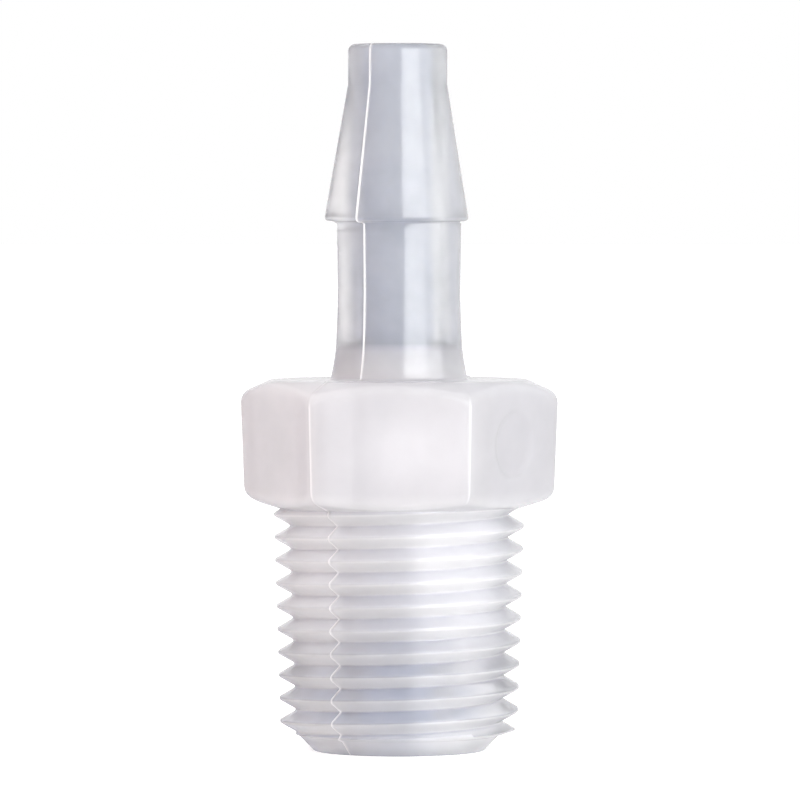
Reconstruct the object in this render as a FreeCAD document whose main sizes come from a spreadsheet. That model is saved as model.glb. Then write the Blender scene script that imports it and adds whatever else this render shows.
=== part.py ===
"""Hose barb by male taper pipe thread connector, moulded in one piece of natural polypropylene.

Frame, in millimetres: +Z runs along the bore from the thread end face to the hose nose, the
origin is the centre of the thread end face, and one flat of the hexagon faces -Y.
"""

import FreeCAD, Part

import math
import os

import Sketcher

NODE = "connector_body"

# Driving sizes, in millimetres and degrees. Each name is an alias in the spreadsheet.
SIZES = {
    # Smooth lead-in cone at the thread end
    "PilotLength": 0.62,
    "PilotFaceDiameter": 6.88,
    "PilotConeAngle": 45.0,
    # Tapered pipe thread, 27 turns to the inch, right-handed
    "ThreadPitch": 0.9407,
    "ThreadAngle": 60.0,
    "ThreadTaperAngle": 1.79,
    "ThreadLength": 9.31,
    "ThreadEndDiameter": 9.7,
    "ThreadRootWidth": 0.18,
    "ThreadFirstCrest": 0.095,
    # Hexagon, measured across its flats at half its height
    "HexAcrossFlats": 11.18,
    "HexHeight": 5.2,
    "HexDraftAngle": 1.9,
    "HexCornerRound": 0.15,
    "HexTopFaceDiameter": 10.48,
    "HexTopAngle": 24.0,
    "HexUndersideDiameter": 9.9,
    "HexUndersideAngle": 17.5,
    "HexEdgeRound": 0.6,
    # Neck between the hexagon and the barb
    "NeckLength": 6.51,
    "NeckFootDiameter": 5.63,
    "NeckFlareHeight": 1.5,
    "NeckDiameter": 5.05,
    # Barb and nose that the hose is pushed over
    "BarbLength": 5.59,
    "BarbDiameter": 5.93,
    "BarbEdgeChamfer": 0.15,
    "NoseDiameter": 4.06,
    "NoseLength": 1.65,
    "NoseRimChamfer": 0.22,
    # Bore, left by two core pins that meet inside at a step
    "StemBoreDiameter": 2.9,
    "StemBoreLength": 12.3,
    "ThreadBoreDiameter": 3.6,
    # Round gate mark sunk in one flat, with its bearing from +X towards +Y
    "GateMarkDiameter": 2.6,
    "GateMarkDepth": 0.1,
    "GateMarkDrop": 2.5,
    "GateMarkBearing": -30.0,
}

# Room that a cutting outline or a hidden end gets past the surface it has to pass
CLEAR = 1.0
# Length of flat that a chamfer's outline follows past its rounded edge, as a share of the round
ROUND_RUN = 1.5
# How far the thread's ridge is sunk in its core, as a share of its pitch
RIDGE_SEAT = 0.25
# Points of a sketch that are nearer than this are the same
SAME_POINT = 1e-6


class Formula:
    """A number with the expression that gives it in the document, so that both stay in step."""

    def __init__(self, text, value):
        self.text = text
        self.value = value

    def __add__(self, other):
        other = formula(other)
        return Formula(f"({self.text} + {other.text})", self.value + other.value)

    def __sub__(self, other):
        other = formula(other)
        return Formula(f"({self.text} - {other.text})", self.value - other.value)

    def __mul__(self, other):
        other = formula(other)
        return Formula(f"({self.text} * {other.text})", self.value * other.value)

    def __truediv__(self, other):
        other = formula(other)
        return Formula(f"({self.text} / {other.text})", self.value / other.value)


def formula(item):
    """The item itself if it is a formula, or a plain number as one."""
    if isinstance(item, Formula):
        return item
    return Formula(f"({item})", item)


def size(name):
    """One of the driving sizes."""
    return Formula(f"Dimensions.{name}", SIZES[name])


def sine(angle):
    """Sine of an angle in degrees."""
    angle = formula(angle)
    return Formula(f"sin({angle.text} * 1 deg)", math.sin(math.radians(angle.value)))


def cosine(angle):
    """Cosine of an angle in degrees."""
    angle = formula(angle)
    return Formula(f"cos({angle.text} * 1 deg)", math.cos(math.radians(angle.value)))


def tangent(angle):
    """Tangent of an angle in degrees."""
    angle = formula(angle)
    return Formula(f"tan({angle.text} * 1 deg)", math.tan(math.radians(angle.value)))


# Levels along the bore, from the thread end face up
THREAD_START = size("PilotLength")
HEX_BOTTOM = THREAD_START + size("ThreadLength")
HEX_MIDDLE = HEX_BOTTOM + size("HexHeight") / 2
HEX_TOP = HEX_BOTTOM + size("HexHeight")
FLARE_TOP = HEX_TOP + size("NeckFlareHeight")
BARB_BOTTOM = HEX_TOP + size("NeckLength")
BARB_TOP = BARB_BOTTOM + size("BarbLength")
NOSE_TOP = BARB_TOP + size("NoseLength")
BORE_STEP = NOSE_TOP - size("StemBoreLength")


def flat_distance(level):
    """Distance of the drafted hexagon's flats from the bore's axis at a level."""
    return size("HexAcrossFlats") / 2 + (level - HEX_MIDDLE) * tangent(size("HexDraftAngle"))


def corner_radius(level):
    """Radius of the drafted hexagon's corners at a level, before they are rounded."""
    return flat_distance(level) / cosine(30)


def crest_radius(level):
    """Radius of the thread's crest at a level."""
    return size("ThreadEndDiameter") / 2 + (level - THREAD_START) * tangent(size("ThreadTaperAngle"))


def root_radius(level):
    """Radius of the thread's root at a level."""
    half_base = (size("ThreadPitch") - size("ThreadRootWidth")) / 2
    return crest_radius(level) - half_base / tangent(size("ThreadAngle") / 2)


def add_sheet(doc):
    """Puts the driving sizes in a spreadsheet."""
    sheet = doc.addObject("Spreadsheet::Sheet", "Dimensions")
    for row, (name, value) in enumerate(SIZES.items(), start=1):
        sheet.set(f"A{row}", name)
        sheet.set(f"B{row}", str(value))
        sheet.setAlias(f"B{row}", name)
    doc.recompute()


def origin_feature(body, role):
    """A plane or axis of the body's own origin."""
    for item in body.Origin.OriginFeatures:
        if item.Role == role:
            return item
    raise RuntimeError(f"{body.Label} has no {role}")


def new_sketch(body, name, role):
    """An empty sketch on one of the body's origin planes."""
    sketch = body.newObject("Sketcher::SketchObject", name)
    sketch.AttachmentSupport = [(origin_feature(body, role), "")]
    sketch.MapMode = "FlatFace"
    return sketch


def add_size(sketch, constraint, length):
    """Adds a constraint that has a length, and ties the length to its expression."""
    index = sketch.addConstraint(constraint)
    sketch.setExpression(f"Constraints[{index}]", length.text)


def pin_point(sketch, geometry, point, across, up):
    """Holds a point of the sketch across and up from the sketch's origin."""
    for kind, length in (("DistanceX", formula(across)), ("DistanceY", formula(up))):
        add_size(sketch, Sketcher.Constraint(kind, -1, 1, geometry, point, length.value), length)


def draw_outline(sketch, corners):
    """Draws a closed outline. A corner is (across, up), or (across, up, radius) where it is round."""
    count = len(corners)
    places = []
    for corner in corners:
        places.append(FreeCAD.Vector(formula(corner[0]).value, formula(corner[1]).value, 0))

    # Each side runs between the points where the rounds of its two corners begin
    starts = list(places)
    ends = [places[(index + 1) % count] for index in range(count)]
    crowns = {}
    for index, corner in enumerate(corners):
        if len(corner) < 3:
            continue
        back = (places[index - 1] - places[index]).normalize()
        ahead = (places[(index + 1) % count] - places[index]).normalize()
        half_angle = back.getAngle(ahead) / 2
        reach = corner[2].value / math.tan(half_angle)
        rise = corner[2].value / math.sin(half_angle) - corner[2].value
        ends[index - 1] = places[index] + back * reach
        starts[index] = places[index] + ahead * reach
        crowns[index] = places[index] + (back + ahead).normalize() * rise

    sides = []
    for start, end in zip(starts, ends):
        sides.append(sketch.addGeometry(Part.LineSegment(start, end), False))
    for index, corner in enumerate(corners):
        before = sides[index - 1]
        after = sides[index]
        if index not in crowns:
            sketch.addConstraint(Sketcher.Constraint("Coincident", before, 2, after, 1))
            pin_point(sketch, after, 1, corner[0], corner[1])
            continue

        # A round corner keeps its sharp point as a construction point on both sides
        bend = Part.Arc(ends[index - 1], crowns[index], starts[index])
        arc = sketch.addGeometry(bend, False)
        first, last = (1, 2)
        if (sketch.getPoint(arc, first) - ends[index - 1]).Length > SAME_POINT:
            first, last = (2, 1)
        sketch.addConstraint(Sketcher.Constraint("Tangent", before, 2, arc, first))
        sketch.addConstraint(Sketcher.Constraint("Tangent", arc, last, after, 1))
        add_size(sketch, Sketcher.Constraint("Radius", arc, corner[2].value), corner[2])
        sharp = sketch.addGeometry(Part.Point(places[index]), True)
        sketch.addConstraint(Sketcher.Constraint("PointOnObject", sharp, 1, before))
        sketch.addConstraint(Sketcher.Constraint("PointOnObject", sharp, 1, after))
        pin_point(sketch, sharp, 1, corner[0], corner[1])


def turn(body, kind, name, corners):
    """A revolution or groove about the bore's axis, of an outline in the XZ plane."""
    sketch = new_sketch(body, f"{name}_outline", "XZ_Plane")
    draw_outline(sketch, corners)
    feature = body.newObject(kind, name)
    feature.Profile = sketch
    feature.ReferenceAxis = (sketch, ["V_Axis"])
    feature.Angle = 360
    return feature


def add_hexagon(doc, body):
    """The drafted hexagon, with rounded corners."""
    sketch = new_sketch(body, "hexagon_outline", "XY_Plane")
    sketch.setExpression("AttachmentOffset.Base.z", HEX_TOP.text)
    corners = []
    for bearing in range(0, 360, 60):
        corners.append((corner_radius(HEX_TOP) * cosine(bearing), corner_radius(HEX_TOP) * sine(bearing)))
    draw_outline(sketch, corners)

    # It narrows downwards from its top, where the sketch is
    pad = body.newObject("PartDesign::Pad", "hexagon")
    pad.Profile = sketch
    pad.Reversed = True
    pad.setExpression("Length", size("HexHeight").text)
    pad.setExpression("TaperAngle", f"-{size('HexDraftAngle').text}")
    doc.recompute()

    upright = []
    for number, edge in enumerate(pad.Shape.Edges, start=1):
        if edge.BoundBox.ZLength > pad.Length.Value / 2:
            upright.append(f"Edge{number}")
    fillet = body.newObject("PartDesign::Fillet", "hexagon_corners")
    fillet.Base = (pad, upright)
    fillet.setExpression("Radius", size("HexCornerRound").text)
    doc.recompute()


def chamfer_hexagon(doc, body):
    """Conical chamfers at both ends of the hexagon, which round over into its corners."""
    reach = corner_radius(HEX_TOP) + CLEAR
    face = size("HexTopFaceDiameter") / 2
    shoulder = HEX_TOP - (corner_radius(HEX_TOP) - face) * tangent(size("HexTopAngle"))
    below = shoulder - size("HexEdgeRound") * ROUND_RUN
    turn(body, "PartDesign::Groove", "hexagon_top_chamfer", [
        (face, HEX_TOP),
        (corner_radius(shoulder), shoulder, size("HexEdgeRound")),
        (corner_radius(below), below),
        (reach, below),
        (reach, HEX_TOP + CLEAR),
        (face, HEX_TOP + CLEAR),
    ])

    face = size("HexUndersideDiameter") / 2
    shoulder = HEX_BOTTOM + (corner_radius(HEX_BOTTOM) - face) * tangent(size("HexUndersideAngle"))
    above = shoulder + size("HexEdgeRound") * ROUND_RUN
    turn(body, "PartDesign::Groove", "hexagon_underside_chamfer", [
        (face, HEX_BOTTOM),
        (face, HEX_BOTTOM - CLEAR),
        (reach, HEX_BOTTOM - CLEAR),
        (reach, above),
        (corner_radius(above), above),
        (corner_radius(shoulder), shoulder, size("HexEdgeRound")),
    ])
    doc.recompute()


def add_stem(doc, body):
    """Neck, barb and nose, turned as one profile that starts inside the hexagon."""
    foot = size("NeckFootDiameter") / 2
    neck = size("NeckDiameter") / 2
    barb = size("BarbDiameter") / 2
    nose = size("NoseDiameter") / 2
    edge = size("BarbEdgeChamfer")
    rim = size("NoseRimChamfer")
    turn(body, "PartDesign::Revolution", "stem", [
        (0, HEX_TOP - CLEAR),
        (foot, HEX_TOP - CLEAR),
        (foot, HEX_TOP),
        (neck, FLARE_TOP),
        (neck, BARB_BOTTOM),
        (barb - edge, BARB_BOTTOM),
        (barb, BARB_BOTTOM + edge),
        (nose, BARB_TOP),
        (nose, NOSE_TOP - rim),
        (nose - rim, NOSE_TOP),
        (0, NOSE_TOP),
    ])
    doc.recompute()


def sink_gate_mark(doc, body):
    """The shallow round mark that the mould's gate leaves near the middle of one flat."""
    level = HEX_TOP - size("GateMarkDrop")
    distance = flat_distance(level) + CLEAR

    # The sketch faces -Y, so it is swung from there to the bearing and moved out past the flat
    sketch = new_sketch(body, "gate_mark_outline", "XZ_Plane")
    swing = size("GateMarkBearing") + 90
    upright = FreeCAD.Rotation(FreeCAD.Vector(0, 1, 0), swing.value)
    sketch.AttachmentOffset = FreeCAD.Placement(FreeCAD.Vector(), upright)
    sketch.setExpression("AttachmentOffset.Rotation.Angle", swing.text)
    sketch.setExpression("AttachmentOffset.Base.x", (distance * sine(swing)).text)
    sketch.setExpression("AttachmentOffset.Base.z", (distance * cosine(swing)).text)

    diameter = size("GateMarkDiameter")
    centre = FreeCAD.Vector(0, level.value, 0)
    outline = Part.Circle(centre, FreeCAD.Vector(0, 0, 1), diameter.value / 2)
    circle = sketch.addGeometry(outline, False)
    pin_point(sketch, circle, 3, 0, level)
    add_size(sketch, Sketcher.Constraint("Diameter", circle, diameter.value), diameter)
    pocket = body.newObject("PartDesign::Pocket", "gate_mark")
    pocket.Profile = sketch
    pocket.setExpression("Length", (size("GateMarkDepth") + CLEAR).text)
    doc.recompute()


def make_thread(doc):
    """The tapered core with its helical ridge, cut flat below and led in by the smooth pilot.

    It is a body of its own because the ridge joins a bare core soundly, and the connector's
    body takes the finished thread in.
    """
    body = doc.addObject("PartDesign::Body", "thread_body")
    pitch = size("ThreadPitch")
    low = THREAD_START - pitch * 2
    high = HEX_BOTTOM + CLEAR
    turn(body, "PartDesign::Revolution", "thread_core", [
        (0, low),
        (root_radius(low), low),
        (root_radius(high), high),
        (0, high),
    ])

    # The ridge starts a turn below the first crest, where the end is cut off later. Its flanks run
    # on under the core's surface, half-way to the next turn's, and its base is sunk deeper with
    # upright sides. Each flank is drawn in two halves, whose narrower swept faces need fewer facets.
    crest = THREAD_START + size("ThreadFirstCrest") - pitch
    tip = crest_radius(crest)
    half_foot = pitch / 2 - size("ThreadRootWidth") / 4
    foot = tip - half_foot / tangent(size("ThreadAngle") / 2)
    seat = foot - pitch * RIDGE_SEAT
    ridge = new_sketch(body, "thread_ridge", "XZ_Plane")
    draw_outline(ridge, [
        (seat, crest - half_foot),
        (foot, crest - half_foot),
        ((foot + tip) / 2, crest - half_foot / 2),
        (tip, crest),
        ((foot + tip) / 2, crest + half_foot / 2),
        (foot, crest + half_foot),
        (seat, crest + half_foot),
    ])
    helix = body.newObject("PartDesign::AdditiveHelix", "thread_helix")
    helix.Profile = ridge
    helix.ReferenceAxis = (ridge, ["V_Axis"])
    helix.Mode = "pitch-height-angle"
    helix.LeftHanded = False
    helix.Reversed = False
    helix.setExpression("Pitch", pitch.text)
    helix.setExpression("Height", (HEX_BOTTOM + pitch / 2 - crest).text)
    helix.setExpression("Angle", size("ThreadTaperAngle").text)
    doc.recompute()

    reach = crest_radius(THREAD_START) + CLEAR
    turn(body, "PartDesign::Groove", "thread_end", [
        (0, low - CLEAR),
        (reach, low - CLEAR),
        (reach, THREAD_START),
        (0, THREAD_START),
    ])
    doc.recompute()
    face = size("PilotFaceDiameter") / 2
    turn(body, "PartDesign::Revolution", "pilot", [
        (0, 0),
        (face, 0),
        (face + size("PilotLength") * tangent(size("PilotConeAngle")), THREAD_START),
        (0, THREAD_START),
    ])
    doc.recompute()
    return body


def join(doc, body, other):
    """Takes another body's solid into the body."""
    boolean = body.newObject("PartDesign::Boolean", f"{other.Name}_joined")
    boolean.Type = "Fuse"
    boolean.setObjects([other])
    doc.recompute()


def cut_bore(doc, body):
    """The bore right through, with a step where the stem's part meets the wider thread's part."""
    narrow = size("StemBoreDiameter") / 2
    wide = size("ThreadBoreDiameter") / 2
    turn(body, "PartDesign::Groove", "bore", [
        (0, formula(-CLEAR)),
        (wide, formula(-CLEAR)),
        (wide, BORE_STEP),
        (narrow, BORE_STEP),
        (narrow, NOSE_TOP + CLEAR),
        (0, NOSE_TOP + CLEAR),
    ])
    doc.recompute()


def check(doc, body):
    """Stops if an object has failed or the body isn't one sound solid."""
    for item in doc.Objects:
        if "Invalid" in item.State or "Error" in item.State:
            raise RuntimeError(f"{item.Label} failed")
        if item.TypeId == "Sketcher::SketchObject" and not item.FullyConstrained:
            raise RuntimeError(f"{item.Label} is loose")
    shape = body.Shape
    if shape.isNull() or not shape.isValid() or len(shape.Solids) != 1:
        raise RuntimeError(f"{body.Label} is not one sound solid")


def check_volumes(doc):
    """Stops if a feature that adds or cuts has left the volume as it was, or moved it the wrong way."""
    growing = ("stem", "thread_helix", "pilot", "thread_body_joined")
    shrinking = ("hexagon_top_chamfer", "hexagon_underside_chamfer", "gate_mark", "thread_end", "bore")
    for name in growing + shrinking:
        feature = doc.getObject(name)
        change = feature.Shape.Volume - feature.BaseFeature.Shape.Volume
        if (change > 0) != (name in growing):
            raise RuntimeError(f"{name} changes the volume by {change:.3f}")


def main():
    doc = FreeCAD.newDocument("hose_barb_connector")
    add_sheet(doc)
    body = doc.addObject("PartDesign::Body", NODE)
    body.Label = NODE
    add_hexagon(doc, body)
    chamfer_hexagon(doc, body)
    add_stem(doc, body)
    sink_gate_mark(doc, body)
    join(doc, body, make_thread(doc))
    cut_bore(doc, body)
    body.Placement = FreeCAD.Placement()
    doc.recompute()
    check(doc, body)
    check_volumes(doc)
    os.makedirs("parts", exist_ok=True)
    body.Shape.exportStep(os.path.join("parts", f"{NODE}.step"))
    print(f"{NODE}: {body.Shape.Volume:.2f} mm3, {len(body.Shape.Faces)} faces")


main()
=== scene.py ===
import math

import bmesh
import bpy
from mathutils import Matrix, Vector


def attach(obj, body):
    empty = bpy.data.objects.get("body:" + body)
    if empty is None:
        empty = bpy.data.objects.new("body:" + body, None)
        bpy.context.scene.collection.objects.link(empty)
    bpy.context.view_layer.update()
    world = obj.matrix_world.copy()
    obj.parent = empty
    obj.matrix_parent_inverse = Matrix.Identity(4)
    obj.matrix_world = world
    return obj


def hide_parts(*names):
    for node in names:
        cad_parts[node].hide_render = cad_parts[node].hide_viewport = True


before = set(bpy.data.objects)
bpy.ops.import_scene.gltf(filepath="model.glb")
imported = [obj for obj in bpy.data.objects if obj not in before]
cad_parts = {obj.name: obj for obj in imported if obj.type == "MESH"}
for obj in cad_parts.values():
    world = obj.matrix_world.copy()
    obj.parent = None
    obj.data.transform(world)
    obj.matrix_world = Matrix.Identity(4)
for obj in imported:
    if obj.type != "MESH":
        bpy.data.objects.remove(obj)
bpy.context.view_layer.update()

# The connector's sizes are in millimetres, as in the part's source, and the scene is in metres
MM = 0.001

# The pilot at the thread's end, and the ledge round it that the thread runs out on
PILOT_LENGTH = 0.62
PILOT_FACE_RADIUS = 3.5
PILOT_TOP_RADIUS = 4.1
PILOT_RIM_ROUND = 0.06
PILOT_TOP_ROUND = 0.04
LEDGE_SLOPE = math.tan(math.radians(18.7))
LEDGE_RUN = 0.1

# The taper pipe thread, with its radius taken at the crests and where the pilot ends
THREAD_PITCH = 0.9407
THREAD_TAPER = 1 / 32
THREAD_END_RADIUS = 4.85
THREAD_FLANK_SLOPE = 1 / math.tan(math.radians(30))
THREAD_CREST_HALF = 0.06
THREAD_ROOT_HALF = 0.04
THREAD_EASING = 0.035
THREAD_FIRST_CREST = 0.715

# The drafted hexagon. Its top and underside are cones outside their flat faces, and its edges are rounder
# where its side comes within the corners' reach of their own radius. The gap keeps the thread off its edge
HEX_BOTTOM = 9.93
HEX_TOP = 15.18
HEX_MIDDLE = (HEX_BOTTOM + HEX_TOP) / 2
HEX_HALF_FLATS = 5.59
HEX_DRAFT_SLOPE = math.tan(math.radians(1.9))
HEX_SIDES = 6
HEX_TURN = 2 * math.pi / HEX_SIDES
HEX_CORNER_ROUND = 0.15
HEX_CORNER_REACH = 0.35
HEX_CORNER_EDGE_ROUND = 0.6
HEX_FLAT_EDGE_ROUND = 0.4
HEX_EDGE_STEPS = 4
HEX_TOP_FACE_RADIUS = 5.24
HEX_TOP_FACE_ROUND = 0.25
HEX_TOP_SLOPE = math.tan(math.radians(24))
HEX_UNDER_FACE_RADIUS = 4.95
HEX_UNDER_SLOPE = math.tan(math.radians(17.5))
HEX_UNDER_GAP = 0.03

# The stem: a waisted neck, a barb that stands a little to one side along X, and its nose
NECK_FOOT_RADIUS = 2.8
NECK_FOOT_ROUND = 0.12
NECK_FLARE_TOP = 16.28
NECK_FLARE_RADIUS = 2.595
NECK_FLARE_ROUND = 6
NECK_WAIST = 18.3
NECK_WAIST_RADIUS = 2.51
NECK_WAIST_ROUND = 20
NECK_BARB_RADIUS = 2.545
NECK_BARB_ROUND = 0.1
BARB_BOTTOM = 21.64
BARB_RADIUS = 2.965
BARB_EDGE_ROUND = 0.16
BARB_TOP = 27.23
BARB_TOP_ROUND = 1.2
NOSE_RADIUS = 2.03
NOSE_RIM_ROUND = 0.33
NOSE_TOP = 28.88
BARB_LEAN = -0.1
NOSE_LEAN = -0.05
LEAN_RISE = 0.1

# The bore, which narrows softly where the stem begins
STEM_BORE_RADIUS = 1.45
THREAD_BORE_RADIUS = 1.8
BORE_RIM_ROUND = 0.1
BORE_STEP = 16.58
BORE_STEP_EASING = 0.3
BORE_STEP_ROUND = 0.4
BORE_STEM_ROW = 22.58
BORE_THREAD_ROW = 8

# The round gate mark in one flat of the hexagon
GATE_BEARING = math.radians(-30)
GATE_LEVEL = 12.63
GATE_RADIUS = 1.3
GATE_DEPTH = 0.09
GATE_EASING = 0.16
GATE_TURN = math.radians(28)
GATE_LEAST_RADIUS = HEX_HALF_FLATS - 0.2

# The mould's parting line, which fades out on the hexagon between each pair of levels
SEAM_BEARING = math.radians(60)
SEAM_LINES = 2
SEAM_HEIGHT = 0.055
SEAM_HALF_WIDTH = 0.065
SEAM_WHITENESS = 0.75
SEAM_FADE_LOW = (HEX_BOTTOM, HEX_BOTTOM + 0.5)
SEAM_FADE_HIGH = (HEX_TOP + 0.1, HEX_TOP - 0.3)

# Painted highlights on the hexagon's corners: pale lines, which fade in between each pair of levels
CORNER_HIGHLIGHT_HALF_WIDTH = 0.05
CORNER_HIGHLIGHT_WHITENESS = 0.45
CORNER_HIGHLIGHT_FADE_LOW = (10.2, 10.6)
CORNER_HIGHLIGHT_FADE_HIGH = (14.5, 14.1)

# The mesh's columns, in degrees. They stand closer together beside the hexagon's corners, and two of those
# are on the parting line
FULL_TURN = 360
COLUMN_STEP = 1.5
CORNER_COLUMNS = (0.3, 0.65, 1.05)

# Rows of one thread turn, as distances from the crest's middle, and the turns that reach the thread
ROW_OFFSETS = [0.0, 0.025, 0.06, 0.095, 0.2, 0.31, 0.395, 0.43]
THREAD_ROWS = [-aside for aside in reversed(ROW_OFFSETS[1:])] + ROW_OFFSETS + [THREAD_PITCH / 2]
THREAD_TURNS = range(-1, 11)

# Rows added to the hexagon's underside and sides, and the longest stretch between the stem's rows
HEX_UNDER_ROWS = 2
HEX_SIDE_ROWS = 30
LONGEST_STRETCH = 0.4

# The first row of the end outside the bore, and the last rows of the stem inside it
PILOT_ROW = 13
NOSE_ROWS = 4

# A rounding takes at most this share of a side
MOST_OF_SIDE = 0.49

# How often a rule is followed until its level settles
SETTLE_STEPS = 24

# Points this near give no direction, and points of the thread that are nearer still are one in the mesh
NEAR = 1e-6
SAME = 1e-9

# The studio is white at the back. Its other sides are front, left, far left, right and top. Each has an
# axis, where along it the side starts and where it is full, and a colour
WHITE = (1, 1, 1, 1)
STUDIO_SIDES = [
    ("Y", 0.45, -0.2, (0.95, 0.95, 0.98, 1)),
    ("X", -0.1, -0.6, (0.65, 0.66, 0.72, 1)),
    ("X", -0.35, -0.65, (0.5, 0.52, 0.6, 1)),
    ("X", 0.1, 0.5, (1.1, 1.1, 1.1, 1)),
    ("Z", 0.2, 0.7, (0.85, 0.85, 0.88, 1)),
]

# The floor, in metres, and the shade that clear plastic sees on it under the object, round the bore's axis
FLOOR_REACH = 3.0
FLOOR_COLOUR = (0.92, 0.92, 0.92, 1)
FLOOR_ROUGHNESS = 0.9
FLOOR_GLOSS = 0.1
FLOOR_LIFT = 0.5
UNDER_SHADE = (0.32, 0.38, 0.52, 1)
UNDER_SHADE_START = 0.0017
UNDER_SHADE_END = 0.0032

# The plastic's colour by height, as a share of the whole: greyer on the pilot, the hexagon and the neck's
# foot
TONES = [
    (0.0, (0.78, 0.78, 0.8, 1)),
    (0.03, (0.99, 0.98, 0.99, 1)),
    (0.34, (0.99, 0.98, 0.99, 1)),
    (0.37, (0.77, 0.76, 0.78, 1)),
    (0.505, (0.77, 0.76, 0.78, 1)),
    # A painted light on the hexagon's top cone, which faces up and is less lit than its flats
    (0.523, (0.83, 0.82, 0.84, 1)),
    (0.535, (0.77, 0.76, 0.78, 1)),
    (0.566, (0.76, 0.76, 0.78, 1)),
    (0.6, (0.98, 0.98, 0.99, 1)),
    (1.0, (0.98, 0.98, 0.99, 1)),
]

# The bore's colour by height: a painted bluish shade at the open end and in the stem, where the shaded
# bore shows through the plastic
BORE_PAINTED_SHADE = [
    (0.0, (0.5, 0.56, 0.7, 1)),
    (0.12, (0.62, 0.67, 0.78, 1)),
    (0.25, (0.92, 0.92, 0.95, 1)),
    (0.37, (1, 1, 1, 1)),
    (0.5, (1, 1, 1, 1)),
    (0.565, (0.82, 0.82, 0.87, 1)),
    (0.58, (0.36, 0.42, 0.56, 1)),
    (1.0, (0.43, 0.48, 0.59, 1)),
]

# A painted shade on the thread's flanks that face up, which makes them darker than those that face down
UPWARD_PAINTED_SHADE = (0.79, 0.79, 0.83, 1)

# The plastic's clearness by height, what the bore and the upward flanks add, and the parting line's own,
# which the painted highlights on the hexagon's corners share
CLEARNESS = [
    (0.0, 0.5),
    (0.15, 0.5),
    (0.25, 0.4),
    (0.34, 0.4),
    (0.37, 0.35),
    (0.52, 0.35),
    (0.566, 0.55),
    (0.578, 0.72),
    (1.0, 0.72),
]
LOW_CLEARNESS = [
    (0.0, 0.16),
    (0.12, 0.16),
    (0.18, 0.0),
]
SEAM_CLEARNESS = 0.1

# Faint clouds in the clearness, and the moulded surface's grain: each noise's scale and detail, and the
# stretch of it that turns into a depth of clouds or a roughness
CLOUD_SCALE = 300
CLOUD_DETAIL = 3
CLOUD_STRETCH = (0.3, 0.7)
CLOUD_DEPTH = 0.04
GRAIN_SCALE = 2600
GRAIN_DETAIL = 4
GRAIN_STRETCH = (0.35, 0.7)
GRAIN_ROUGHNESS = (0.13, 0.24)
GRAIN_BUMP = 0.06
GRAIN_HEIGHT = 0.00005

# Light in the plastic: its refraction, and how far it scatters, in metres
REFRACTION = 1.49
SCATTER_REACH = 0.0015
SCATTER_COLOUR = (1.0, 1.0, 1.0)

# The lamps, in metres, watts and degrees. Two softboxes show in the gloss, and a key and a warm fill light
# the object. The narrow band and glow stand for light that the plastic scatters in its thread and hexagon
LAMP_AIM = (0, 0, 0.0145)
LAMPS = [
    {
        "name": "softbox",
        "place": (0.0778, -0.1164, 0.03),
        "size": (0.102, 0.13),
        "power": 0.33,
        "gloss": True,
    },
    {
        "name": "soft_edge",
        "place": (0.1308, -0.05, 0.03),
        "size": (0.08, 0.13),
        "power": 0.13,
        "gloss": True,
    },
    {
        "name": "key",
        "place": (0.131, -0.3245, 0.02),
        "size": (0.25, 0.3),
        "power": 0.95,
    },
    {
        "name": "fill",
        "place": (-0.34, -0.09, 0.03),
        "size": (0.2, 0.2),
        "power": 0.75,
        "colour": (1, 0.72, 0.56),
    },
    {
        "name": "band",
        "place": (0.0079, -0.0292, 0.003),
        "size": (0.0036, 0.0135),
        "power": 0.0001,
        "aim": (0.00185, 0.0001, 0.003),
        "spread": 3,
    },
    {
        "name": "glow",
        "place": (0.004, -0.035, 0.0125),
        "size": (0.003, 0.002),
        "power": 0.000013,
        "aim": (0.0008, -0.0056, 0.0125),
        "spread": 10,
    },
]

# The camera, in metres, with its lens and sensor in millimetres
CAMERA_LENS = 300
CAMERA_SENSOR = 36
CAMERA_NEAREST = 0.01
CAMERA_FARTHEST = 20
CAMERA_AIM = (0.00004, 0, 0.01433)
CAMERA_BEARING = math.radians(3.67)
CAMERA_DISTANCE = 0.2726
CAMERA_RISE = 0.0082


def bearings():
    """Bearings of the mesh's columns, in degrees from +X towards +Y."""
    found = {index * COLUMN_STEP for index in range(round(FULL_TURN / COLUMN_STEP))}
    for corner in range(0, FULL_TURN, FULL_TURN // HEX_SIDES):
        for aside in CORNER_COLUMNS:
            found.add((corner + aside) % FULL_TURN)
            found.add((corner - aside) % FULL_TURN)
    return sorted(found)


def smooth(low, high, value):
    """Eases from 0 at low to 1 at high, which may be the smaller."""
    share = min(max((value - low) / (high - low), 0), 1)
    return share * share * (3 - 2 * share)


def arc(here, back, ahead, wanted, steps):
    """Points of the rounding at a corner with sides back and ahead; it stays within half of each side."""
    half = back.angle(ahead) / 2
    reach = min(wanted / math.tan(half), back.length * MOST_OF_SIDE, ahead.length * MOST_OF_SIDE)
    radius = reach * math.tan(half)
    centre = here + (back.normalized() + ahead.normalized()).normalized() * (radius / math.sin(half))
    first = here + back.normalized() * reach - centre
    last = here + ahead.normalized() * reach - centre
    angle = math.pi - 2 * half
    points = []
    for step in range(steps + 1):
        share = step / steps
        weight_first = math.sin((1 - share) * angle) / math.sin(angle)
        weight_last = math.sin(share * angle) / math.sin(angle)
        points.append(centre + first * weight_first + last * weight_last)
    return points


def rounded(path):
    """Points of an open path of (radius, level) corners, or of (radius, level, round, steps) soft ones."""
    points = []
    for index, corner in enumerate(path):
        here = Vector(corner[:2])
        if len(corner) == 2:
            points.append(here)
        else:
            back = Vector(path[index - 1][:2]) - here
            ahead = Vector(path[index + 1][:2]) - here
            points += arc(here, back, ahead, *corner[2:])
    return points


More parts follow.
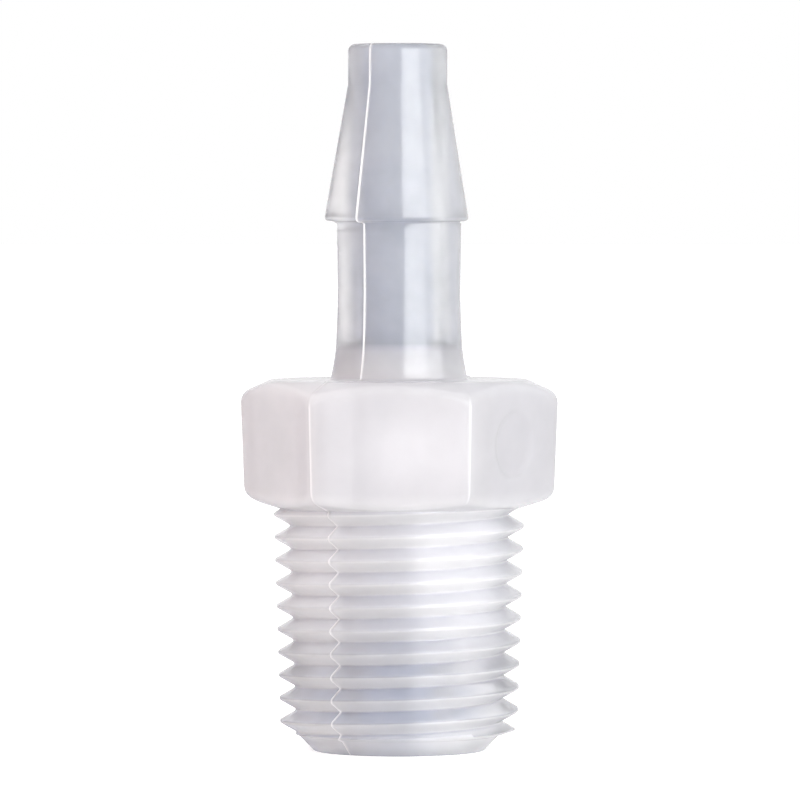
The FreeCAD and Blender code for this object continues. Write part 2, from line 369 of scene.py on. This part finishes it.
def between(start, end, count):
    """Points that divide the way from start to end, without its ends."""
    return [start.lerp(end, (index + 1) / (count + 1)) for index in range(count)]


def divided(points):
    """The same path with its long stretches divided, so that the shading stays level along them."""
    found = [points[0]]
    for point in points[1:]:
        count = math.ceil((point - found[-1]).length / LONGEST_STRETCH) - 1
        found += between(found[-1], point, count) + [point]
    return found


def settled(level, rule):
    """The level that a rule hardly changes, found by following the rule from a first guess."""
    for _ in range(SETTLE_STEPS):
        level = rule(level)
    return level


def hexagon_radius(bearing, level):
    """Distance of the hexagon's side from the bore's axis, with its corners rounded."""
    flat = HEX_HALF_FLATS + (level - HEX_MIDDLE) * HEX_DRAFT_SLOPE
    turn = bearing % HEX_TURN - HEX_TURN / 2
    to_corner = HEX_TURN / 2 - abs(turn)
    centre = (flat - HEX_CORNER_ROUND) / math.cos(HEX_TURN / 2)
    aside = centre * math.sin(to_corner)
    sharp = flat / math.cos(turn)
    if aside >= HEX_CORNER_ROUND:
        return sharp
    return min(sharp, centre * math.cos(to_corner) + math.sqrt(HEX_CORNER_ROUND ** 2 - aside ** 2))


def topside(radius):
    """Level of the hexagon's conical top at a radius."""
    return HEX_TOP - (radius - HEX_TOP_FACE_RADIUS) * HEX_TOP_SLOPE


def underside(radius):
    """Level of the hexagon's underside at a radius."""
    return HEX_BOTTOM + max(radius - HEX_UNDER_FACE_RADIUS, 0) * HEX_UNDER_SLOPE


def ledge(radius):
    """Level of the ledge at the thread's end, which rises a little outwards."""
    return PILOT_LENGTH + (radius - PILOT_TOP_RADIUS) * LEDGE_SLOPE


def thread_depth(away):
    """How far the thread lies under its crests' cone, at a distance up or down from a crest's middle."""
    slope = THREAD_FLANK_SLOPE
    root_start = THREAD_PITCH / 2 - THREAD_ROOT_HALF
    ease = THREAD_EASING
    if away < THREAD_CREST_HALF - ease:
        return 0
    if away < THREAD_CREST_HALF + ease:
        return slope * (away - THREAD_CREST_HALF + ease) ** 2 / (4 * ease)
    if away < root_start - ease:
        return slope * (away - THREAD_CREST_HALF)
    full = slope * (root_start - THREAD_CREST_HALF)
    return full - slope * max(root_start + ease - away, 0) ** 2 / (4 * ease)


def thread_radius(bearing, level):
    """Radius of the thread's surface."""
    crest = THREAD_FIRST_CREST + THREAD_PITCH * bearing / (2 * math.pi)
    away = abs((level - crest + THREAD_PITCH / 2) % THREAD_PITCH - THREAD_PITCH / 2)
    return THREAD_END_RADIUS + (level - PILOT_LENGTH) * THREAD_TAPER - thread_depth(away)


def thread_top(bearing):
    """Where the thread runs into the hexagon's underside."""
    return settled(HEX_BOTTOM, lambda level: underside(thread_radius(bearing, level)))


def thread_rows(bearing):
    """Points up one column of the thread, held between the end's ledge and the hexagon."""
    bottom = settled(PILOT_LENGTH, lambda level: ledge(thread_radius(bearing, level)))
    top = thread_top(bearing)
    points = []
    for turn in THREAD_TURNS:
        for offset in THREAD_ROWS:
            crest = THREAD_FIRST_CREST + THREAD_PITCH * (turn + bearing / (2 * math.pi))
            level = min(max(crest + offset, bottom), top)
            points.append(Vector((thread_radius(bearing, level), level)))
    return points


def end_rows():
    """Points down the bore and over the thread's end to its ledge."""
    beyond = PILOT_TOP_RADIUS + LEDGE_RUN
    path = [
        (STEM_BORE_RADIUS, BORE_STEM_ROW),
        (STEM_BORE_RADIUS, BORE_STEP + BORE_STEP_EASING, BORE_STEP_ROUND, 3),
        (THREAD_BORE_RADIUS, BORE_STEP - BORE_STEP_EASING, BORE_STEP_ROUND, 3),
        (THREAD_BORE_RADIUS, BORE_THREAD_ROW),
        (THREAD_BORE_RADIUS, 0, BORE_RIM_ROUND, 3),
        (PILOT_FACE_RADIUS, 0, PILOT_RIM_ROUND, 3),
        (PILOT_TOP_RADIUS, PILOT_LENGTH, PILOT_TOP_ROUND, 2),
        (beyond, ledge(beyond)),
    ]
    return rounded(path)[:-1]


def hexagon_rows(bearing):
    """Points from the thread out over the hexagon and in to the neck's foot."""
    inner = max(thread_radius(bearing, thread_top(bearing)) + HEX_UNDER_GAP, HEX_UNDER_FACE_RADIUS)
    to_corner = hexagon_radius(0, HEX_TOP) - hexagon_radius(bearing, HEX_TOP)
    corner = smooth(HEX_CORNER_REACH, 0, to_corner)
    edge = HEX_FLAT_EDGE_ROUND + (HEX_CORNER_EDGE_ROUND - HEX_FLAT_EDGE_ROUND) * corner
    low = settled(HEX_BOTTOM, lambda level: underside(hexagon_radius(bearing, level)))
    high = settled(HEX_TOP, lambda level: topside(hexagon_radius(bearing, level)))
    path = [
        (inner, underside(inner)),
        (hexagon_radius(bearing, low), low, edge, HEX_EDGE_STEPS),
        (hexagon_radius(bearing, high), high, edge, HEX_EDGE_STEPS),
        (HEX_TOP_FACE_RADIUS, HEX_TOP, HEX_TOP_FACE_ROUND, 3),
        (NECK_FOOT_RADIUS, HEX_TOP),
    ]
    points = rounded(path)[:-1]
    side = HEX_EDGE_STEPS + 2
    points[side:side] = between(points[side - 1], points[side], HEX_SIDE_ROWS)
    points[1:1] = between(points[0], points[1], HEX_UNDER_ROWS)
    return points


def stem_rows():
    """Points from the neck's foot up over the barb and nose and into the bore."""
    path = [
        (HEX_TOP_FACE_RADIUS, HEX_TOP),
        (NECK_FOOT_RADIUS, HEX_TOP, NECK_FOOT_ROUND, 3),
        (NECK_FLARE_RADIUS, NECK_FLARE_TOP, NECK_FLARE_ROUND, 4),
        (NECK_WAIST_RADIUS, NECK_WAIST, NECK_WAIST_ROUND, 3),
        (NECK_BARB_RADIUS, BARB_BOTTOM, NECK_BARB_ROUND, 2),
        (BARB_RADIUS, BARB_BOTTOM, BARB_EDGE_ROUND, 4),
        (NOSE_RADIUS, BARB_TOP, BARB_TOP_ROUND, 3),
        (NOSE_RADIUS, NOSE_TOP, NOSE_RIM_ROUND, 5),
        (STEM_BORE_RADIUS, NOSE_TOP, BORE_RIM_ROUND, 3),
        (STEM_BORE_RADIUS, BORE_STEM_ROW),
    ]
    return divided(rounded(path)[1:-1])


def line_share(point, bearing, first, lines, half_width):
    """How much a point belongs to one of some evenly spaced upright lines: 1 on it and 0 beside it."""
    step = 2 * math.pi / lines
    turn = (bearing - first + step / 2) % step - step / 2
    away = abs(turn) * point.x / half_width
    return (1 - away * away) ** 2 if away < 1 else 0


def seam_share(point, bearing):
    """How much a point belongs to the mould's parting line."""
    return line_share(point, bearing, SEAM_BEARING, SEAM_LINES, SEAM_HALF_WIDTH)


def off_hexagon(level):
    """1 above and below the hexagon, where the parting line shows, and 0 at its sides."""
    return 1 - smooth(*SEAM_FADE_LOW, level) * smooth(*SEAM_FADE_HIGH, level)


def seam_tone_and_corner_highlight(point, bearing):
    """Whiteness of the parting line, and of the painted highlights on the hexagon's corners."""
    tone = SEAM_WHITENESS * off_hexagon(point.y) * seam_share(point, bearing)
    # A painted highlight down each corner of the hexagon
    if point.x > HEX_HALF_FLATS:
        fade = smooth(*CORNER_HIGHLIGHT_FADE_LOW, point.y) * smooth(*CORNER_HIGHLIGHT_FADE_HIGH, point.y)
        corner = CORNER_HIGHLIGHT_WHITENESS * fade * line_share(point, bearing, 0, HEX_SIDES, CORNER_HIGHLIGHT_HALF_WIDTH)
        tone = max(tone, corner)
    return tone


def raise_seam(points, shares):
    """Lifts the mould's parting line out of a column's points, apart from the hexagon's."""
    lifted = list(points)
    for index, share in enumerate(shares):
        if not share:
            continue
        here = points[index]
        before = next((point for point in reversed(points[:index]) if (point - here).length > NEAR), here)
        after = next((point for point in points[index + 1:] if (point - here).length > NEAR), here)
        along = (after - before).normalized()
        outward = Vector((along.y, -along.x))
        raised = here + outward * SEAM_HEIGHT * off_hexagon(here.y) * share
        lifted[index] = Vector((raised.x, min(max(raised.y, 0), NOSE_TOP)))
    return lifted


def sink_gate(point, bearing):
    """Sinks the round gate mark in its flat of the hexagon."""
    turn = (bearing - GATE_BEARING + math.pi) % (2 * math.pi) - math.pi
    if abs(turn) > GATE_TURN or not HEX_BOTTOM < point.y < HEX_TOP or point.x < GATE_LEAST_RADIUS:
        return point
    aside = math.hypot(point.x * math.sin(turn), point.y - GATE_LEVEL)
    depth = GATE_DEPTH * smooth(GATE_RADIUS + GATE_EASING / 2, GATE_RADIUS - GATE_EASING / 2, aside)
    return Vector((point.x - depth / math.cos(turn), point.y))


def lean(level):
    """How far the stem stands off the bore's axis along X, from the barb's foot up."""
    barb = BARB_LEAN + (NOSE_LEAN - BARB_LEAN) * smooth(BARB_BOTTOM, NOSE_TOP, level)
    return barb * smooth(BARB_BOTTOM - LEAN_RISE, BARB_BOTTOM, level)


def faces_up(row):
    """1 on the thread's flanks that face up, 0 on those that face down, and half at a crest or root."""
    offset = THREAD_ROWS[row % len(THREAD_ROWS)]
    if offset in (0, THREAD_PITCH / 2):
        return 0.5
    return 1.0 if offset > 0 else 0.0


def join_columns(ids, thread_first, thread_last):
    """Faces between neighbouring columns; past the last one, the thread goes on a turn further up."""
    faces = []
    rows = len(ids[0])
    for index, column in enumerate(ids):
        beyond = ids[(index + 1) % len(ids)]
        shift = len(THREAD_ROWS) if index == len(ids) - 1 else 0
        for row in range(rows):
            following = (row + 1) % rows
            across = []
            for item in (row, following):
                if thread_first <= item <= thread_last:
                    item = min(item + shift, thread_last)
                across.append(beyond[item])
            corners = [column[row], *across, column[following]]
            unique = list(dict.fromkeys(corners))
            if len(unique) > 2:
                faces.append(unique)
    return faces


def build_connector():
    """The whole moulded body as one closed mesh, in columns round the bore and rows along its outline."""
    end = end_rows()
    stem = stem_rows()
    thread_first = len(end)
    thread_last = thread_first + len(THREAD_ROWS) * len(THREAD_TURNS) - 1
    places = []
    marks = {"inside": [], "seam_and_corner_highlight": [], "upward": []}
    ids = []
    for degrees in bearings():
        bearing = math.radians(degrees)
        points = end + thread_rows(bearing) + hexagon_rows(bearing) + stem
        outer = range(PILOT_ROW, len(points) - NOSE_ROWS)
        shares = [seam_share(point, bearing) if row in outer else 0 for row, point in enumerate(points)]
        points = [sink_gate(point, bearing) for point in raise_seam(points, shares)]
        column = []
        for row, point in enumerate(points):
            on_thread = thread_first <= row <= thread_last
            held = on_thread and row > thread_first and (point - points[row - 1]).length < SAME
            if not held:
                places.append((
                    (point.x * math.cos(bearing) + lean(point.y)) * MM,
                    point.x * math.sin(bearing) * MM,
                    point.y * MM,
                ))
                marks["inside"].append(0.0 if row in outer else 1.0)
                marks["seam_and_corner_highlight"].append(seam_tone_and_corner_highlight(point, bearing) if row in outer else 0.0)
                marks["upward"].append(faces_up(row - thread_first) if on_thread else 0.0)
            column.append(len(places) - 1)
        ids.append(column)

    mesh = bpy.data.meshes.new("connector")
    mesh.from_pydata(places, [], join_columns(ids, thread_first, thread_last))
    build = bmesh.new()
    build.from_mesh(mesh)
    bmesh.ops.recalc_face_normals(build, faces=build.faces)
    build.to_mesh(mesh)
    build.free()
    for name, values in marks.items():
        mesh.attributes.new(name, "FLOAT", "POINT").data.foreach_set("value", values)
    mesh.shade_smooth()
    piece = bpy.data.objects.new("connector", mesh)
    bpy.context.scene.collection.objects.link(piece)
    return piece


def feed(tree, socket, value):
    """Links a socket to another one, or sets it to a plain value."""
    if isinstance(value, bpy.types.NodeSocket):
        tree.links.new(value, socket)
    else:
        socket.default_value = value


def math_result(tree, operation, *values):
    """Result of a math node on sockets or numbers."""
    node = tree.nodes.new("ShaderNodeMath")
    node.operation = operation
    for socket, value in zip(node.inputs, values):
        feed(tree, socket, value)
    return node.outputs[0]


def vector_result(tree, operation, vector):
    """Result of a vector node on one vector: a number for its length, a vector otherwise."""
    node = tree.nodes.new("ShaderNodeVectorMath")
    node.operation = operation
    tree.links.new(vector, node.inputs[0])
    return node.outputs["Value" if operation == "LENGTH" else "Vector"]


def ranged(tree, value, source, target=(0, 1), interpolation="LINEAR"):
    """A value moved from one range to another, and held at its ends."""
    node = tree.nodes.new("ShaderNodeMapRange")
    node.interpolation_type = interpolation
    tree.links.new(value, node.inputs["Value"])
    node.inputs["From Min"].default_value = source[0]
    node.inputs["From Max"].default_value = source[1]
    node.inputs["To Min"].default_value = target[0]
    node.inputs["To Max"].default_value = target[1]
    return node.outputs["Result"]


def mixed(tree, share, first, second, kind="RGBA"):
    """A mix of two colours, or of two numbers with the kind FLOAT."""
    node = tree.nodes.new("ShaderNodeMix")
    node.data_type = kind
    feed(tree, node.inputs["Factor"], share)
    feed(tree, node.inputs["A"], first)
    feed(tree, node.inputs["B"], second)
    return node.outputs["Result"]


def ramp(tree, share, stops):
    """A colour ramp through stops of (position, colour), or of (position, level) for a grey one."""
    node = tree.nodes.new("ShaderNodeValToRGB")
    elements = node.color_ramp.elements
    while len(elements) < len(stops):
        elements.new(1)
    for element, (position, colour) in zip(elements, stops):
        element.position = position
        element.color = colour if isinstance(colour, tuple) else (colour, colour, colour, 1)
    tree.links.new(share, node.inputs["Fac"])
    return node.outputs["Color"]


def mark(tree, name):
    """One of the values that the mesh carries at its points."""
    node = tree.nodes.new("ShaderNodeAttribute")
    node.attribute_name = name
    return node.outputs["Fac"]


def noise(tree, place, scale, detail):
    """Soft noise in the object's own space."""
    node = tree.nodes.new("ShaderNodeTexNoise")
    node.inputs["Scale"].default_value = scale
    node.inputs["Detail"].default_value = detail
    tree.links.new(place, node.inputs["Vector"])
    return node.outputs["Fac"]


def axes_of(tree, vector):
    """The X, Y and Z of a vector."""
    node = tree.nodes.new("ShaderNodeSeparateXYZ")
    tree.links.new(vector, node.inputs[0])
    return node.outputs


def plastic_tone(tree, height):
    """The plastic's colour, by height and by what the mesh marks on it: a painted shade on the thread's
    upward flanks and in the bore, the pale parting line, and painted highlights on the hexagon's corners.
    """
    # The thread's upward flanks take their painted shade
    outer = mixed(tree, mark(tree, "upward"), ramp(tree, height, TONES), UPWARD_PAINTED_SHADE)
    # The bore takes its painted bluish shade
    whole = mixed(tree, mark(tree, "inside"), outer, ramp(tree, height, BORE_PAINTED_SHADE))
    # The pale lines include the painted highlights on the hexagon's corners
    return mixed(tree, mark(tree, "seam_and_corner_highlight"), whole, WHITE)


def plastic_clearness(tree, height, place):
    """The plastic's clearness, a little cloudy, with more low down in the bore and on upward flanks."""
    clouds = noise(tree, place, CLOUD_SCALE, CLOUD_DETAIL)
    drift = ranged(tree, clouds, CLOUD_STRETCH, (-CLOUD_DEPTH, CLOUD_DEPTH))
    cloudy = math_result(tree, "ADD", ramp(tree, height, CLEARNESS), drift)
    lower = math_result(tree, "MAXIMUM", mark(tree, "upward"), mark(tree, "inside"))
    clear = math_result(tree, "MULTIPLY_ADD", ramp(tree, height, LOW_CLEARNESS), lower, cloudy)
    return mixed(tree, mark(tree, "seam_and_corner_highlight"), clear, SEAM_CLEARNESS, "FLOAT")


def add_grain(tree, place, shader):
    """Gives a shader the fine grain of a moulded surface."""
    grain = noise(tree, place, GRAIN_SCALE, GRAIN_DETAIL)
    tree.links.new(ranged(tree, grain, GRAIN_STRETCH, GRAIN_ROUGHNESS), shader.inputs["Roughness"])
    bump = tree.nodes.new("ShaderNodeBump")
    bump.inputs["Strength"].default_value = GRAIN_BUMP
    bump.inputs["Distance"].default_value = GRAIN_HEIGHT
    tree.links.new(grain, bump.inputs["Height"])
    tree.links.new(bump.outputs["Normal"], shader.inputs["Normal"])


def polypropylene():
    """Milky translucent moulded polypropylene: clearer in the thin stem, milkier in the thick hexagon."""
    material = bpy.data.materials.new("natural_polypropylene")
    material.use_nodes = True
    tree = material.node_tree
    shader = tree.nodes["Principled BSDF"]
    place = tree.nodes.new("ShaderNodeTexCoord").outputs["Object"]
    height = math_result(tree, "DIVIDE", axes_of(tree, place)["Z"], NOSE_TOP * MM)
    tree.links.new(plastic_tone(tree, height), shader.inputs["Base Color"])
    tree.links.new(plastic_clearness(tree, height, place), shader.inputs["Transmission Weight"])
    add_grain(tree, place, shader)
    shader.inputs["IOR"].default_value = REFRACTION
    shader.inputs["Subsurface Weight"].default_value = 1.0
    shader.inputs["Subsurface Scale"].default_value = SCATTER_REACH
    shader.inputs["Subsurface Radius"].default_value = SCATTER_COLOUR
    return material


def studio_colour(tree, direction):
    """The studio's colour in a direction: white behind the object, dimmer on its other sides."""
    axes = axes_of(tree, direction)
    colour = WHITE
    for axis, start, full, side in STUDIO_SIDES:
        share = ranged(tree, axes[axis], (start, full), interpolation="SMOOTHSTEP")
        colour = mixed(tree, share, colour, side)
    return colour


def white_floor():
    """White to the eye; gloss and clear plastic see the studio's colour, and a shade under the object."""
    material = bpy.data.materials.new("white_floor")
    material.use_nodes = True
    tree = material.node_tree
    path = tree.nodes.new("ShaderNodeLightPath")
    shader = tree.nodes["Principled BSDF"]
    shader.inputs["Base Color"].default_value = FLOOR_COLOUR
    shader.inputs["Roughness"].default_value = FLOOR_ROUGHNESS
    shader.inputs["Specular IOR Level"].default_value = FLOOR_GLOSS
    shader.inputs["Emission Color"].default_value = WHITE
    lift = math_result(tree, "MULTIPLY", path.outputs["Is Camera Ray"], FLOOR_LIFT)
    tree.links.new(lift, shader.inputs["Emission Strength"])

    place = tree.nodes.new("ShaderNodeTexCoord").outputs["Object"]
    distance = vector_result(tree, "LENGTH", place)
    open_floor = ranged(tree, distance, (UNDER_SHADE_START, UNDER_SHADE_END), interpolation="SMOOTHSTEP")
    studio = tree.nodes.new("ShaderNodeEmission")
    colour = studio_colour(tree, vector_result(tree, "NORMALIZE", place))
    tree.links.new(mixed(tree, open_floor, UNDER_SHADE, colour), studio.inputs["Color"])
    rays = (path.outputs["Is Transmission Ray"], path.outputs["Is Glossy Ray"])
    indirect = math_result(tree, "MAXIMUM", *rays)
    seen = tree.nodes.new("ShaderNodeMixShader")
    tree.links.new(indirect, seen.inputs["Fac"])
    tree.links.new(shader.outputs[0], seen.inputs[1])
    tree.links.new(studio.outputs[0], seen.inputs[2])
    tree.links.new(seen.outputs[0], tree.nodes["Material Output"].inputs["Surface"])
    return material


def add_floor():
    """A plain floor that carries on to the horizon."""
    mesh = bpy.data.meshes.new("floor")
    reach = FLOOR_REACH
    corners = [(-reach, -reach, 0), (reach, -reach, 0), (reach, reach, 0), (-reach, reach, 0)]
    mesh.from_pydata(corners, [], [(0, 1, 2, 3)])
    mesh.materials.append(white_floor())
    floor = bpy.data.objects.new("floor", mesh)
    bpy.context.scene.collection.objects.link(floor)


def add_world():
    """The studio's surround; seen directly it is white."""
    world = bpy.data.worlds.new("surround")
    world.use_nodes = True
    bpy.context.scene.world = world
    tree = world.node_tree
    place = tree.nodes.new("ShaderNodeTexCoord")
    studio = tree.nodes["Background"]
    tree.links.new(studio_colour(tree, place.outputs["Generated"]), studio.inputs["Color"])
    white = tree.nodes.new("ShaderNodeBackground")
    white.inputs["Color"].default_value = WHITE
    path = tree.nodes.new("ShaderNodeLightPath")
    seen = tree.nodes.new("ShaderNodeMixShader")
    tree.links.new(path.outputs["Is Camera Ray"], seen.inputs["Fac"])
    tree.links.new(studio.outputs[0], seen.inputs[1])
    tree.links.new(white.outputs[0], seen.inputs[2])
    tree.links.new(seen.outputs[0], tree.nodes["World Output"].inputs["Surface"])


def add_lamp(name, place, size, power, gloss=False, colour=(1, 1, 1), aim=LAMP_AIM, spread=180):
    """A soft lamp that faces its aim, and either shows in the object's gloss alone or not at all in it."""
    lamp = bpy.data.lights.new(name, "AREA")
    lamp.shape = "RECTANGLE"
    lamp.size, lamp.size_y = size
    lamp.energy = power
    lamp.color = colour
    lamp.spread = math.radians(spread)
    holder = bpy.data.objects.new(name, lamp)
    holder.location = place
    towards = Vector(aim) - Vector(place)
    holder.rotation_euler = towards.to_track_quat("-Z", "Y").to_euler()
    holder.visible_camera = False
    holder.visible_glossy = gloss
    holder.visible_diffuse = not gloss
    holder.visible_transmission = False
    bpy.context.scene.collection.objects.link(holder)


def add_camera():
    """The photograph's viewpoint: nearly level, a little round to the right, through a long lens."""
    camera = bpy.data.cameras.new("camera")
    camera.lens = CAMERA_LENS
    camera.sensor_width = CAMERA_SENSOR
    camera.clip_start = CAMERA_NEAREST
    camera.clip_end = CAMERA_FARTHEST
    holder = bpy.data.objects.new("camera", camera)
    aim = Vector(CAMERA_AIM)
    across = CAMERA_DISTANCE * math.sin(CAMERA_BEARING)
    back = CAMERA_DISTANCE * math.cos(CAMERA_BEARING)
    holder.location = aim + Vector((across, -back, CAMERA_RISE))
    holder.rotation_euler = (aim - holder.location).to_track_quat("-Z", "Y").to_euler()
    bpy.context.scene.collection.objects.link(holder)
    bpy.context.scene.camera = holder


connector = build_connector()
connector.data.materials.append(polypropylene())
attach(connector, "root")
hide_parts("connector_body")

add_floor()
add_world()
for lamp in LAMPS:
    add_lamp(**lamp)
add_camera()

bpy.context.scene.view_settings.view_transform = "Standard"
